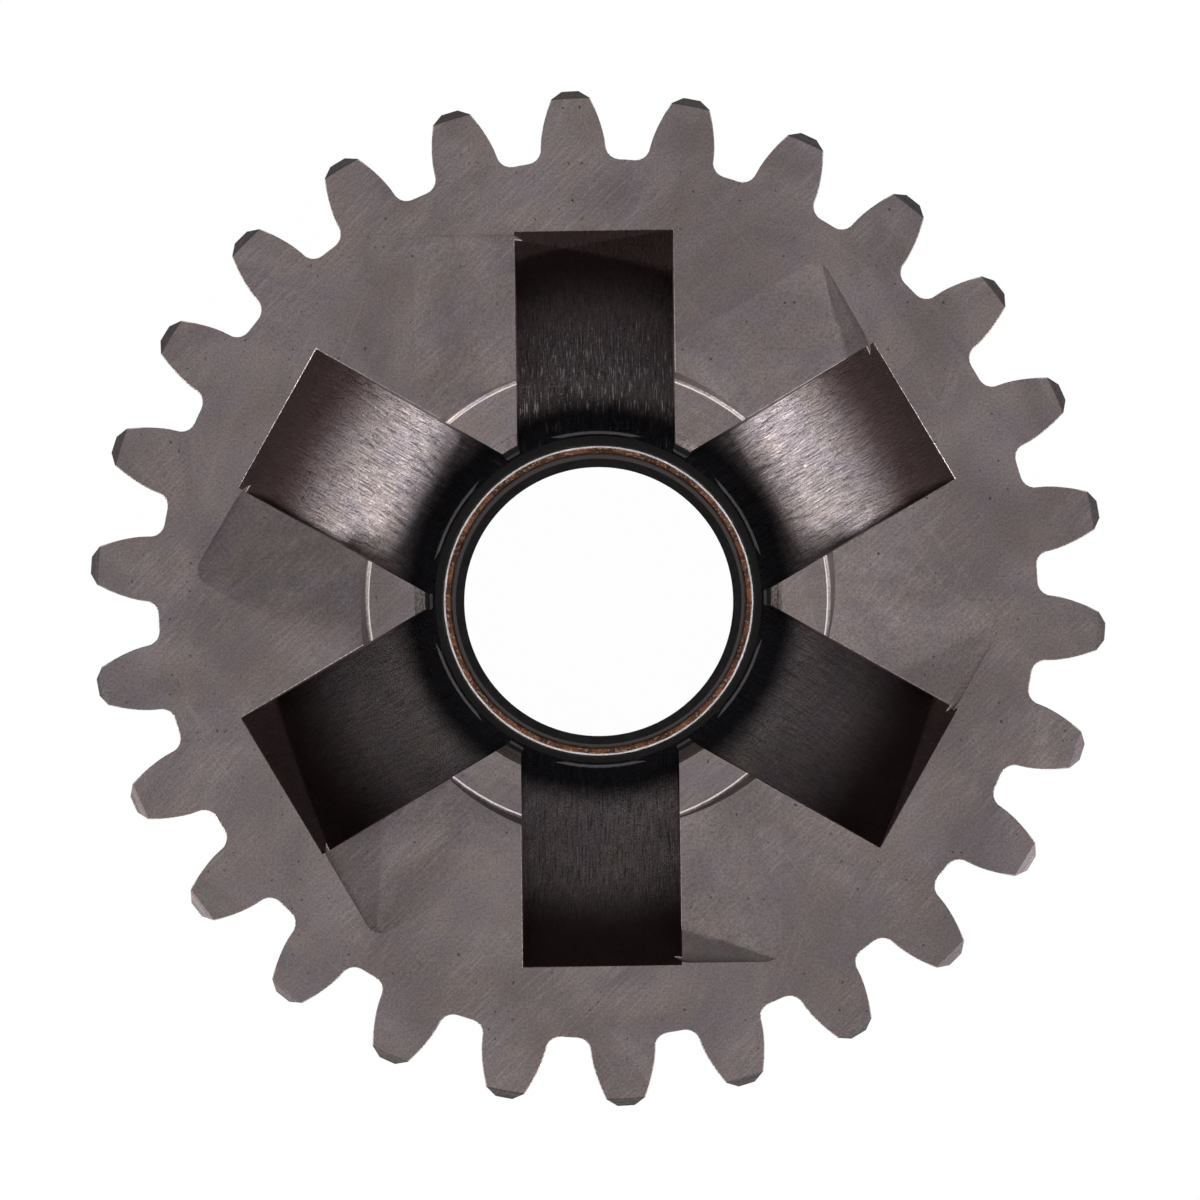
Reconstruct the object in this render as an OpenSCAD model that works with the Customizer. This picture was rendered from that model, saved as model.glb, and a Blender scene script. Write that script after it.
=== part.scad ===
// Main drive gear of a constant mesh gearbox: a toothed ring with dog slots in its
// front face, on a long sleeve that runs in the case bearing.
// The axis is Z. The sleeve end stands on Z = 0 and the slotted face looks up.

/* [Gear teeth] */
// Number of teeth
teeth = 26; // [24:1:28]
// Diameter of the pitch circle
pitch_diameter = 82.55; // [80:0.05:86]
// Pressure angle of the flanks
pressure_angle = 20; // [18:0.5:22]
// Height of the tooth outside the pitch circle
addendum = 2.41; // [2.0:0.05:2.6]
// Depth of the tooth space inside the pitch circle
dedendum = 3.48; // [3.0:0.05:3.7]
// Thickness of a tooth, measured along the pitch circle
tooth_thickness = 4.69; // [4.4:0.05:4.9]
// Radius in the corners of the tooth space
root_fillet = 1.25; // [0.8:0.05:1.3]
// Bevel on the corners of the tooth tips
tip_bevel = 0.65; // [0.3:0.05:0.8]
// Bevel where the tips meet the front and back faces
tip_chamfer = 0.69; // [0.3:0.05:1.2]
// Width of the toothed ring along the axis
gear_width = 22.2; // [21:0.2:26]
// Turn of the first tooth from the X axis
tooth_turn = 10.1; // [0:0.1:13]

/* [Dog slots] */
// Number of slots
slot_count = 6; // [5:1:6]
// Width of a slot between its side walls
slot_width = 13.65; // [10:0.1:14.5]
// Distance from the axis to the outer end of a slot, at the face
slot_reach = 31.6; // [29:0.2:33]
// Height of the disc cutter's centre above the face, at full depth
cutter_rise = 7.8; // [7:0.2:12]
// Turn of the first slot from the X axis
slot_turn = 30.7; // [0:0.1:60]

/* [Lead-in ramps] */
// Depth of a ramp below the face, where it meets its slot
ramp_drop = 2.2; // [1:0.1:2.5]
// Length of a ramp, from the edge of its slot to where it leaves the face
ramp_length = 8.65; // [6:0.1:9.5]
// Distance that a ramp's outer edge stops short of the slot's outer end
ramp_inset = 0.2; // [0.1:0.05:1]
// Distance that the ramp cutter runs on into the slot
ramp_overrun = 3.1; // [1:0.1:5]
// Corner radius that the ramp cutter leaves inside the slot
ramp_tool_radius = 4.5; // [2:0.5:6]
// Corner radius where a ramp leaves the face
ramp_start_radius = 1.5; // [0.5:0.1:3]

/* [Face recess] */
// Radius of the recess round the bore, at the face
recess_radius = 20.7; // [18:0.1:23]
// Depth of the recess
recess_depth = 2.6; // [2.6:0.1:4]
// Distance that the recess wall leans in from the face to its foot
recess_lean = 0.5; // [0.2:0.05:1]
// Radius in the foot of the recess wall
recess_fillet = 0.45; // [0.2:0.05:0.8]

/* [Bore] */
// Radius of the sleeve's plain bore
bore_radius = 14.5; // [13.5:0.1:15]
// Step in radius from the plain bore out to the counterbore
counterbore_step = 0.45; // [0.3:0.05:1]
// Depth of the counterbore's ledge below the face
counterbore_depth = 21.4; // [16:0.2:23]
// Bevel at the mouth of the counterbore
mouth_chamfer = 0.9; // [0.5:0.1:1.5]
// Bevel on the inner edge of the ledge
ledge_chamfer = 0.2; // [0.1:0.05:0.25]

/* [Sleeve] */
// Length of the sleeve that stands out behind the toothed ring
sleeve_length = 53.8; // [50:0.2:70]
// Radius of the bearing journal
journal_radius = 22.2; // [21.6:0.1:24]
// Length of the bearing journal
journal_length = 17; // [12:0.5:20]
// Outside radius of the splines
spline_radius = 20.3; // [19.9:0.1:21]
// Length of the splined part
spline_length = 17; // [15:0.5:19]
// Number of splines
spline_count = 24; // [18:1:28]
// Width of the space between two splines
spline_space = 2.6; // [1.6:0.1:2.8]
// Depth of the space between two splines
spline_depth = 1.4; // [0.8:0.1:1.5]
// Radius of the hob that cut the splines, seen where they run out
hob_radius = 12; // [8:1:14]
// Outside radius of the nut thread
thread_radius = 18.6; // [18.2:0.1:19]
// Height of the nut thread's ridge above its core
thread_height = 0.7; // [0.5:0.05:0.9]
// Width of the groove where the thread runs out
relief_width = 3; // [2:0.5:4]
// Depth of that groove below the thread's core
relief_depth = 0.5; // [0.3:0.1:0.8]
// Bevel on the free end of the sleeve and on its shoulders
sleeve_chamfer = 0.9; // [0.4:0.1:1.2]

/* [Thrust face] */
// Radius of the raised thrust face behind the teeth
thrust_radius = 27; // [25.5:0.2:31]
// Height of the raised thrust face
thrust_height = 1.2; // [0.6:0.1:2]
// Width of the grinding groove between the thrust face and the journal
undercut_width = 1.4; // [1:0.1:2]
// Depth of the grinding groove
undercut_depth = 0.5; // [0.3:0.1:0.8]
// Distance that the grinding groove bites into the thrust face, outside the journal
undercut_bite = 0.2; // [0.1:0.05:0.5]

/* [Bush] */
// Wall of the bronze bush
bush_wall = 0.9; // [0.7:0.05:1.5]
// Length of the bush
bush_length = 16.1; // [12:0.1:30]
// Bevel on the outer edges of the bush
bush_outer_chamfer = 0.1; // [0.06:0.02:0.34]
// Bevel on the inner edges of the bush
bush_inner_chamfer = 0.2; // [0.1:0.02:0.3]

/* [Seal] */
// Width of the seal along the axis
seal_width = 4.5; // [4:0.1:7]
// Depth of the seal below the sleeve's end
seal_recess = 0.4; // [0.2:0.1:1]
// Wall of the seal's body, outside the lip
seal_wall = 0.65; // [0.5:0.05:0.8]
// Distance that the lip stands in from the seal's body
lip_reach = 1.0; // [0.6:0.05:1.5]
// Height of the lip's edge above the seal's lower face
lip_height = 1.2; // [0.8:0.1:1.8]

/* [Hidden] */
$fn = 96;

// A cut runs past a face by this much
margin = 1;
// A right angle, through which a rounded corner turns
quarter_turn = 90;
// A slot's side walls start this far inside the bore
slot_lap = 0.3;
// Points along each part of a tooth's outline
tip_steps = 2;
flank_steps = 7;
fillet_steps = 5;

face_z = sleeve_length + gear_width;
pitch_r = pitch_diameter / 2;
tip_r = pitch_r + addendum;
root_r = pitch_r - dedendum;
base_r = pitch_r * cos(pressure_angle);
half_pitch = 180 / teeth;

cutter_r = sqrt(slot_reach * slot_reach + cutter_rise * cutter_rise);
slot_step = 360 / slot_count;
slot_inner = sqrt(pow(bore_radius - slot_lap, 2) - slot_width * slot_width / 4);
ramp_start = slot_width / 2 + ramp_length;
ramp_slope = atan(ramp_drop / ramp_length);
ramp_reach = slot_reach - ramp_inset;
ramp_run = (ramp_length + ramp_overrun) / cos(ramp_slope);
ramp_inner = ramp_start / tan(slot_step);

counterbore_r = bore_radius + counterbore_step;
mouth_r = counterbore_r + mouth_chamfer;
recess_z = face_z - recess_depth;
ledge_z = face_z - counterbore_depth;

thrust_z = sleeve_length - thrust_height;
undercut_z = thrust_z - undercut_width;
journal_z = undercut_z - journal_length;
spline_z = journal_z - spline_length;
relief_z = spline_z - relief_width;
spline_root_r = spline_radius - spline_depth;
core_r = thread_radius - thread_height;

bush_r = bore_radius - bush_wall;
bush_z = seal_recess + seal_width;
seal_inner_r = bore_radius - seal_wall;
lip_r = seal_inner_r - lip_reach;

steel = [0.43, 0.40, 0.39];
bronze = [0.56, 0.36, 0.24];
rubber = [0.07, 0.07, 0.075];

function polar(r, a) = [r * cos(a), r * sin(a)];
function turned(p, a) = [p.x * cos(a) - p.y * sin(a), p.x * sin(a) + p.y * cos(a)];
function flipped(p) = [p.x, -p.y];
function reversed(list) = [for (i = [len(list) - 1 : -1 : 0]) list[i]];

// Involute geometry, with every angle in degrees
function flank_lean(r) = acos(min(1, base_r / r));
function involute(a) = tan(a) * 180 / PI - a;
function half_tooth(r) =
    tooth_thickness / pitch_r * 90 / PI + involute(pressure_angle) - involute(flank_lean(r));

// Corner where the bevel leaves the tip circle, and radius where it meets the flank
tip_corner_a = half_tooth(tip_r) - tip_bevel / tip_r * 180 / PI;
flank_top_r = tip_r - tip_bevel;

// Circle in the corner of a tooth space, tangent to the root circle and the flank
fillet_centre_r = root_r + root_fillet;
fillet_top_r = sqrt(fillet_centre_r * fillet_centre_r - root_fillet * root_fillet);
flank_low_r = max(base_r, fillet_top_r);
fillet_half = asin(root_fillet / fillet_centre_r);
fillet_centre_a = half_tooth(flank_low_r) + fillet_half;

tip_arc = [for (i = [0 : tip_steps - 1]) polar(tip_r, tip_corner_a * i / tip_steps)];
flank = [
    for (i = [0 : flank_steps])
        let (r = flank_top_r + (flank_low_r - flank_top_r) * i / flank_steps)
        polar(r, half_tooth(r))
];
fillet_arc = [
    for (i = [1 : fillet_steps])
        let (a = (quarter_turn - fillet_half) * (i / fillet_steps - 1))
        turned([fillet_centre_r - root_fillet * cos(a), root_fillet * sin(a)], fillet_centre_a)
];
tooth_side = concat([polar(tip_r, tip_corner_a)], flank, fillet_arc);
tooth_points = concat(
    reversed([for (p = tooth_side) flipped(p)]),
    reversed([for (i = [1 : tip_steps - 1]) flipped(tip_arc[i])]),
    tip_arc,
    tooth_side,
    [polar(root_r, half_pitch)]
);

module gear_outline() {
    polygon([for (i = [0 : teeth - 1]) for (p = tooth_points) turned(p, 2 * half_pitch * i)]);
}

// Turned blank of the toothed ring, with bevelled rims
module ring_blank() {
    rotate_extrude()
        polygon([
            [0, sleeve_length],
            [tip_r - tip_chamfer, sleeve_length],
            [tip_r, sleeve_length + tip_chamfer],
            [tip_r, face_z - tip_chamfer],
            [tip_r - tip_chamfer, face_z],
            [0, face_z]
        ]);
}

module toothed_ring() {
    intersection() {
        ring_blank();
        rotate([0, 0, tooth_turn])
            translate([0, 0, sleeve_length])
                linear_extrude(gear_width) gear_outline();
    }
}

// Turned outside of the sleeve: core of the nut thread, relief groove, splines, journal,
// undercut and thrust face. The fine ridge of the thread isn't drawn.
module sleeve_blank() {
    rotate_extrude()
        polygon([
            [0, 0],
            [core_r - sleeve_chamfer, 0],
            [core_r, sleeve_chamfer],
            [core_r, relief_z],
            [core_r - relief_depth, relief_z + relief_depth],
            [core_r - relief_depth, spline_z],
            [spline_radius - sleeve_chamfer, spline_z],
            [spline_radius, spline_z + sleeve_chamfer],
            [spline_radius, journal_z],
            [journal_radius - sleeve_chamfer, journal_z],
            [journal_radius, journal_z + sleeve_chamfer],
            [journal_radius, undercut_z],
            [journal_radius - undercut_depth, undercut_z + undercut_width / 3],
            [journal_radius - undercut_depth, thrust_z - undercut_width / 3],
            [journal_radius + undercut_bite, thrust_z],
            [thrust_radius - thrust_height / 2, thrust_z],
            [thrust_radius, thrust_z + thrust_height / 2],
            [thrust_radius, sleeve_length + margin],
            [0, sleeve_length + margin]
        ]);
}

// One hobbed space between two splines, which runs out on the hob's curve
module spline_cut() {
    run_out = sqrt(hob_radius * hob_radius - pow(hob_radius + spline_root_r - journal_radius, 2));
    hob_z = journal_z - run_out;
    rotate([90, 0, 0])
        translate([0, 0, -spline_space / 2])
            linear_extrude(spline_space) {
                translate([spline_root_r, spline_z - margin])
                    square([spline_depth + margin, hob_z - spline_z + margin]);
                translate([spline_root_r + hob_radius, hob_z]) circle(hob_radius);
            }
}

// A slot is what a disc cutter leaves when it is sunk on the gear's axis
module slot_cut() {
    intersection() {
        translate([slot_inner, -slot_width / 2, 0])
            cube([slot_reach + margin - slot_inner, slot_width, face_z + margin]);
        translate([0, 0, face_z + cutter_rise])
            rotate([90, 0, 0]) cylinder(r = cutter_r, h = 2 * slot_width, center = true, $fn = 180);
    }
}

// Floor of a ramp, seen square to its slope
module ramp_outline() {
    translate([ramp_inner, -ramp_run])
        square([ramp_reach - ramp_tool_radius - ramp_inner, ramp_run]);
    translate([ramp_reach - ramp_tool_radius - margin, ramp_tool_radius - ramp_run])
        square([ramp_tool_radius + margin, ramp_run - ramp_tool_radius - ramp_start_radius]);
    translate([ramp_reach - ramp_tool_radius - margin, -ramp_start_radius - margin])
        square([ramp_tool_radius + margin - ramp_start_radius, ramp_start_radius + margin]);
    translate([ramp_reach - ramp_tool_radius, ramp_tool_radius - ramp_run])
        circle(ramp_tool_radius);
    translate([ramp_reach - ramp_start_radius, -ramp_start_radius])
        circle(ramp_start_radius);
}

// A ramp leads the dog down into its slot, from the side that it comes from
module ramp_cut() {
    translate([0, ramp_start, face_z])
        rotate([ramp_slope, 0, 0])
            linear_extrude(ramp_drop + 4 * margin) ramp_outline();
}

module face_recess_cut() {
    foot_r = recess_radius - recess_lean;
    rotate_extrude()
        polygon([
            [0, recess_z],
            [foot_r - recess_fillet, recess_z],
            for (i = [1 : fillet_steps])
                let (a = quarter_turn * i / fillet_steps)
                [
                    foot_r - recess_fillet * (1 - sin(a)),
                    recess_z + recess_fillet * (1 - cos(a))
                ],
            [recess_radius, face_z],
            [recess_radius, face_z + margin],
            [0, face_z + margin]
        ]);
}

module bore_cut() {
    rotate_extrude()
        polygon([
            [0, -margin],
            [bore_radius + sleeve_chamfer / 2, -margin],
            [bore_radius + sleeve_chamfer / 2, 0],
            [bore_radius, sleeve_chamfer / 2],
            [bore_radius, ledge_z - ledge_chamfer],
            [bore_radius + ledge_chamfer, ledge_z],
            [counterbore_r, ledge_z],
            [counterbore_r, recess_z - mouth_chamfer],
            [mouth_r, recess_z],
            [mouth_r, face_z + margin],
            [0, face_z + margin]
        ]);
}

module main_drive_gear() {
    color(steel)
        difference() {
            union() {
                toothed_ring();
                sleeve_blank();
            }
            bore_cut();
            face_recess_cut();
            for (i = [0 : slot_count - 1])
                rotate([0, 0, slot_turn + slot_step * i]) {
                    slot_cut();
                    ramp_cut();
                }
            for (i = [0 : spline_count - 1])
                rotate([0, 0, 360 / spline_count * i]) spline_cut();
        }
}

// Plain bronze bush, pressed into the sleeve until it meets the seal
module sleeve_bush() {
    top_z = bush_z + bush_length;
    color(bronze)
        rotate_extrude()
            polygon([
                [bush_r + bush_inner_chamfer, bush_z],
                [bore_radius - bush_outer_chamfer, bush_z],
                [bore_radius, bush_z + bush_outer_chamfer],
                [bore_radius, top_z - bush_outer_chamfer],
                [bore_radius - bush_outer_chamfer, top_z],
                [bush_r + bush_inner_chamfer, top_z],
                [bush_r, top_z - bush_inner_chamfer],
                [bush_r, bush_z + bush_inner_chamfer]
            ]);
}

// Rubber seal in the sleeve's end, with one lip for the shaft
module oil_seal() {
    color(rubber)
        rotate_extrude()
            polygon([
                [seal_inner_r, seal_recess],
                [bore_radius, seal_recess],
                [bore_radius, bush_z],
                [seal_inner_r, bush_z],
                [seal_inner_r, bush_z - lip_height],
                [lip_r, seal_recess + lip_height]
            ]);
}

main_drive_gear();
sleeve_bush();
oil_seal();
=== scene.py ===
# %% [markdown]
# This lesson dresses the main drive gear of a gearbox: a toothed ring with six milled dog
# slots, on a long hollow sleeve with a bronze bush and a rubber seal in its bore.
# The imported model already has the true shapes. What is left is the look of the metal: a face
# that was ground and then tumbled matt, slots that still show the streaks of the disc cutter,
# bright ground seats on the sleeve, and a fine nut thread that is too small for the model.

# %% Load the frame
import math
import bmesh
import bpy
from mathutils import Matrix, Vector


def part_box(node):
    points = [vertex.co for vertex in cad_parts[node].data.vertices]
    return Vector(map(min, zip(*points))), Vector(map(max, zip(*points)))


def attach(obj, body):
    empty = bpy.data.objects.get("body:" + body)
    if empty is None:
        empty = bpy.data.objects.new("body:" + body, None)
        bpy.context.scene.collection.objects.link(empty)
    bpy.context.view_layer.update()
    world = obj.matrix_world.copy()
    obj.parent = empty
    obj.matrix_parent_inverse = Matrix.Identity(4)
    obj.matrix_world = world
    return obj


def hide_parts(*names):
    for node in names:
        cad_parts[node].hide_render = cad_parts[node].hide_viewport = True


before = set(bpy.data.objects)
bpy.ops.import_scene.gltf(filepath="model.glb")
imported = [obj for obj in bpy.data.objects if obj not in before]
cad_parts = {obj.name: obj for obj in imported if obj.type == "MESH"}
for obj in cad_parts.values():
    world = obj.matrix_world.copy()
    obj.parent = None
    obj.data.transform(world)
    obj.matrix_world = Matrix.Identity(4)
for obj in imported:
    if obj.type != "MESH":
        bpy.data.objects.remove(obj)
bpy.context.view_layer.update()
MM = 0.001

# %% [markdown]
# The driving sizes of the gear come first, in millimetres. The heights of its surfaces are worked
# out from them, down from the slotted face. They say where one finish ends and the next begins,
# so every surface can be found by its radius and its height.

# %% Sizes that tell the surfaces apart
RING_HEIGHT = 22.2
COLLAR_HEIGHT = 1.2
JOURNAL_HEIGHT = 19.6
JOURNAL_R = 22.2
SPLINE_HEIGHT = 17.0
THREAD_GAP = 3.0
RECESS_DEPTH = 2.6
RECESS_R = 20.7
MOUTH_R = 15.85
LEDGE_DEPTH = 21.4
BORE_R = 14.5
ROOT_R = 37.8
THREAD_R = 18.6
CORE_R = 17.9
SLOT_COUNT = 6
SLOT_TURN = math.radians(30.7)
SLOT_WIDTH = 13.65
SLOT_REACH = 31.6
CUTTER_RISE = 7.8

gear_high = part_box("main_drive_gear")[1]
FACE_Z = gear_high.z / MM
RECESS_Z = FACE_Z - RECESS_DEPTH
LEDGE_Z = FACE_Z - LEDGE_DEPTH
RING_Z = FACE_Z - RING_HEIGHT
THRUST_Z = RING_Z - COLLAR_HEIGHT
JOURNAL_Z = RING_Z - JOURNAL_HEIGHT
THREAD_Z = JOURNAL_Z - SPLINE_HEIGHT - THREAD_GAP
CUTTER_Z = FACE_Z + CUTTER_RISE
CUTTER_R = math.hypot(SLOT_REACH, CUTTER_RISE)
print("slotted face at", round(FACE_Z, 2), "mm, thrust face at", round(THRUST_Z, 2), "mm")

# %% [markdown]
# The photograph looks straight down on the face, from about two thirds of a metre. A camera that
# stands off the axis by a hair sees the same thin slivers of wall as the photograph does.

# %% Camera
CAMERA_AT = Vector((0.563, -2.756, 736.0)) * MM
CAMERA_AIM = Vector((0.1675, -0.144, 76.0)) * MM
SENSOR = 36.0
LENS = 230.45
NEAREST = 0.01
FARTHEST = 10


def put_in_scene(name, data):
    thing = bpy.data.objects.new(name, data)
    bpy.context.scene.collection.objects.link(thing)
    return thing


def make_camera():
    data = bpy.data.cameras.new("camera")
    data.sensor_width = SENSOR
    data.lens = LENS
    data.clip_start = NEAREST
    data.clip_end = FARTHEST
    camera = put_in_scene("camera", data)
    back = (CAMERA_AT - CAMERA_AIM).normalized()
    across = Vector((1, 0, 0))
    across = (across - back * across.dot(back)).normalized()
    up = back.cross(across)
    turn = Matrix((across, up, back)).transposed().to_4x4()
    camera.matrix_world = Matrix.Translation(CAMERA_AT) @ turn
    bpy.context.scene.camera = camera


make_camera()
bpy.context.scene.view_settings.view_transform = "Standard"
print("camera", round((CAMERA_AT - CAMERA_AIM).length, 3), "m from the face")

# %% [markdown]
# A material is a small network of nodes. A few helpers keep each one readable. These make a node
# and set its values, join two sockets, start and place a group of nodes, and do one sum, a soft
# stretch of a range to nought and one, or a blend of two colours. The Mix node keeps the sockets
# for its share and its two colours at these three places.

# %% Helpers for nodes
MIX_SOCKETS = (0, 6, 7)


def add_node(tree, kind, **values):
    node = tree.nodes.new(kind)
    for name, value in values.items():
        if hasattr(node, name):
            setattr(node, name, value)
        else:
            node.inputs[name.replace("_", " ")].default_value = value
    return node


def link(tree, source, target):
    tree.links.new(source, target)


def new_group(name, inputs, outputs):
    tree = bpy.data.node_groups.new(name, "ShaderNodeTree")
    for title, value in inputs.items():
        socket = tree.interface.new_socket(title, in_out="INPUT", socket_type="NodeSocketFloat")
        socket.default_value = value
    for title in outputs:
        tree.interface.new_socket(title, in_out="OUTPUT", socket_type="NodeSocketFloat")
    start = tree.nodes.new("NodeGroupInput")
    end = tree.nodes.new("NodeGroupOutput")
    return tree, start.outputs, end.inputs


def place_group(tree, group, **values):
    node = tree.nodes.new("ShaderNodeGroup")
    node.node_tree = group
    for name, value in values.items():
        node.inputs[name.replace("_", " ")].default_value = value
    return node


def maths(tree, operation, *values, clamp=False):
    node = tree.nodes.new("ShaderNodeMath")
    node.operation = operation
    node.use_clamp = clamp
    for socket, value in zip(node.inputs, values):
        if isinstance(value, (int, float)):
            socket.default_value = value
        else:
            tree.links.new(value, socket)
    return node.outputs[0]


def ramp(tree, source, low, high, to_low=0.0, to_high=1.0):
    node = tree.nodes.new("ShaderNodeMapRange")
    node.interpolation_type = "SMOOTHSTEP"
    tree.links.new(source, node.inputs["Value"])
    titles = ("From Min", "From Max", "To Min", "To Max")
    for title, value in zip(titles, (low, high, to_low, to_high)):
        node.inputs[title].default_value = value
    return node.outputs[0]


def blend_colours(tree, share, first, second, mode="MIX"):
    node = tree.nodes.new("ShaderNodeMix")
    node.data_type = "RGBA"
    node.blend_type = mode
    for place, value in zip(MIX_SOCKETS, (share, first, second)):
        if isinstance(value, (int, float, tuple)):
            node.inputs[place].default_value = value
        else:
            tree.links.new(value, node.inputs[place])
    return node.outputs[2]


print("helpers for sums and blends are ready")

# %% [markdown]
# A pattern needs a place to read. Object coordinates are real places on this gear, in metres, and
# the piece's own map says how far a spot lies across and along the marks of the tool, in
# millimetres. A place can be taken apart, joined from two numbers, moved, turned or stretched
# before a noise reads it. A noise wavers about one half, so what sways both ways has that middle
# taken off first.

# %% Helpers for places and patterns
MAP_NAME = "finish"
NOISE_MIDDLE = 0.5


def part_place(tree):
    return add_node(tree, "ShaderNodeTexCoord").outputs["Object"]


def map_place(tree):
    return add_node(tree, "ShaderNodeUVMap", uv_map=MAP_NAME).outputs[0]


def take_apart(tree, place):
    parts = add_node(tree, "ShaderNodeSeparateXYZ")
    link(tree, place, parts.inputs[0])
    return parts.outputs


def join(tree, across, along):
    joined = add_node(tree, "ShaderNodeCombineXYZ")
    link(tree, across, joined.inputs[0])
    link(tree, along, joined.inputs[1])
    return joined.outputs[0]


def remap(tree, place, **changes):
    mapping = add_node(tree, "ShaderNodeMapping", **changes)
    link(tree, place, mapping.inputs["Vector"])
    return mapping.outputs[0]


def add_noise(tree, place, **values):
    noise = add_node(tree, "ShaderNodeTexNoise", **values)
    link(tree, place, noise.inputs["Vector"])
    return noise


def off_middle(tree, noise):
    return maths(tree, "SUBTRACT", noise.outputs[0], NOISE_MIDDLE)


print("patterns read the map named", MAP_NAME)

# %% [markdown]
# Tumbled steel isn't one grey. Patches a few millimetres across lean to pink, to brown and to
# blue, and a very fine grain lies over them. The mottle group gives them as numbers, so each
# steel can mix its own colours with them. It reads real places on the part, so a patch has its
# true size. The cool patches read the noise at another place than the warm ones, and the clouds
# are a few patches wide. The levels say between which two values of its noise each effect grows
# from nothing to full.

# %% Mottle group
COOL_PLACE = (0.31, 0.17, 0.53)
CLOUD_SCALE = 0.3
CLOUD_LEVELS = (0.34, 0.68)
WARM_LEVELS = (0.38, 0.62)
COOL_LEVELS = (0.40, 0.66)
GRAIN_LEVELS = (0.34, 0.66)


def make_mottle():
    tree, given, result = new_group("mottle", {"Patch Size": 4.0, "Grain Size": 0.2},
                                    ("Warm", "Cool", "Grain", "Cloud"))
    place = part_place(tree)
    elsewhere = remap(tree, place, Location=COOL_PLACE)
    patch_scale = maths(tree, "DIVIDE", 1 / MM, given["Patch Size"])
    grain_scale = maths(tree, "DIVIDE", 1 / MM, given["Grain Size"])
    cloud_scale = maths(tree, "MULTIPLY", patch_scale, CLOUD_SCALE)
    warm = add_noise(tree, place, Detail=1.2, Roughness=0.5)
    cool = add_noise(tree, elsewhere, Detail=1.2, Roughness=0.5)
    grain = add_noise(tree, place, Detail=2.5, Roughness=0.65)
    cloud = add_noise(tree, place, Detail=5.0, Roughness=0.62, Distortion=0.6)
    for title, noise, scale, levels in (("Warm", warm, patch_scale, WARM_LEVELS),
                                        ("Cool", cool, patch_scale, COOL_LEVELS),
                                        ("Grain", grain, grain_scale, GRAIN_LEVELS),
                                        ("Cloud", cloud, cloud_scale, CLOUD_LEVELS)):
        link(tree, scale, noise.inputs["Scale"])
        link(tree, ramp(tree, noise.outputs[0], *levels), result[title])
    return tree


MOTTLE = make_mottle()
print("group", MOTTLE.name)

# %% [markdown]
# Every cutting tool leaves marks in one direction. Each surface of the gear gets its own map,
# in millimetres, whose first number runs across the marks and whose second runs along them. A
# noise that is stretched along the second number then gives grinding lines on a journal, rings
# on a turned face and streaks in a milled slot, all from one group. Its second result keeps only
# the few deep furrows.

# %% Tool mark group
FURROW_PLACE = (17.0, 9.0, 4.0)
MARK_LEVELS = (0.28, 0.72)
FURROW_LEVELS = (0.57, 0.66)


def make_tool_marks():
    tree, given, result = new_group("tool marks", {"Spacing": 0.2, "Length": 6.0, "Wander": 0.0},
                                    ("Marks", "Deep"))
    place = map_place(tree)
    parts = take_apart(tree, place)
    bend = add_noise(tree, place, Scale=0.12, Detail=1.0)
    sway = maths(tree, "MULTIPLY", off_middle(tree, bend), given["Wander"])
    swayed = maths(tree, "ADD", parts[0], sway)
    across = maths(tree, "DIVIDE", swayed, given["Spacing"])
    along = maths(tree, "DIVIDE", parts[1], given["Length"])
    drawn_out = join(tree, across, along)
    fine = add_noise(tree, drawn_out, Scale=1.0, Detail=4.0, Roughness=0.62)
    elsewhere = remap(tree, drawn_out, Location=FURROW_PLACE)
    furrows = add_noise(tree, elsewhere, Scale=1.1, Detail=2.0, Roughness=0.6)
    link(tree, ramp(tree, fine.outputs[0], *MARK_LEVELS), result["Marks"])
    link(tree, ramp(tree, furrows.outputs[0], *FURROW_LEVELS), result["Deep"])
    return tree


TOOL_MARKS = make_tool_marks()
print("group", TOOL_MARKS.name)

# %% [markdown]
# Handling leaves three more things on the face: a faint brushing that mostly runs one way, a few
# long hairline scratches, and small dark pits where the scale wasn't quite cleaned off. A
# hairline is the thin band where a stretched noise passes its middle value. Pits are the middles
# of Voronoi cells, made ragged by a fine noise and thinned out by the cell's random colour.
# Two sets of hairlines cross the face, each with its slant, its spread and its offset.

# %% Scratch and pit group
BRUSHING = (4.5 / MM, 0.3 / MM, 1 / MM)
BRUSHED_LEVELS = (0.42, 0.68)
BRUSHED_AREAS = (0.42, 0.62)
LEAST_BRUSHED = 0.25
HAIRLINE_SETS = ((0.35, 0.9, 0.0), (2.5, 1.3, 0.4))
HAIRLINE_LENGTH = 0.035 / MM
HAIRLINE_HALF = 0.012
HAIRLINE_AREAS = (0.5, 0.6)
PIT_LEAST = 0.06
PIT_GROWTH = 0.12
PIT_RARITY = 6.0
PIT_EDGE = 0.05
PIT_RAGGED = (0.3, 0.3, 0)
FAINTEST_PIT = 0.25


def draw_scratches(tree, place, turned):
    stretched = remap(tree, turned, Scale=BRUSHING)
    lines = add_noise(tree, stretched, Scale=1.0, Detail=3.0, Roughness=0.7)
    area = add_noise(tree, place, Scale=0.11 / MM, Detail=2.0)
    strokes = ramp(tree, lines.outputs[0], *BRUSHED_LEVELS)
    areas = ramp(tree, area.outputs[0], *BRUSHED_AREAS, LEAST_BRUSHED, 1.0)
    return maths(tree, "MULTIPLY", strokes, areas)


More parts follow.
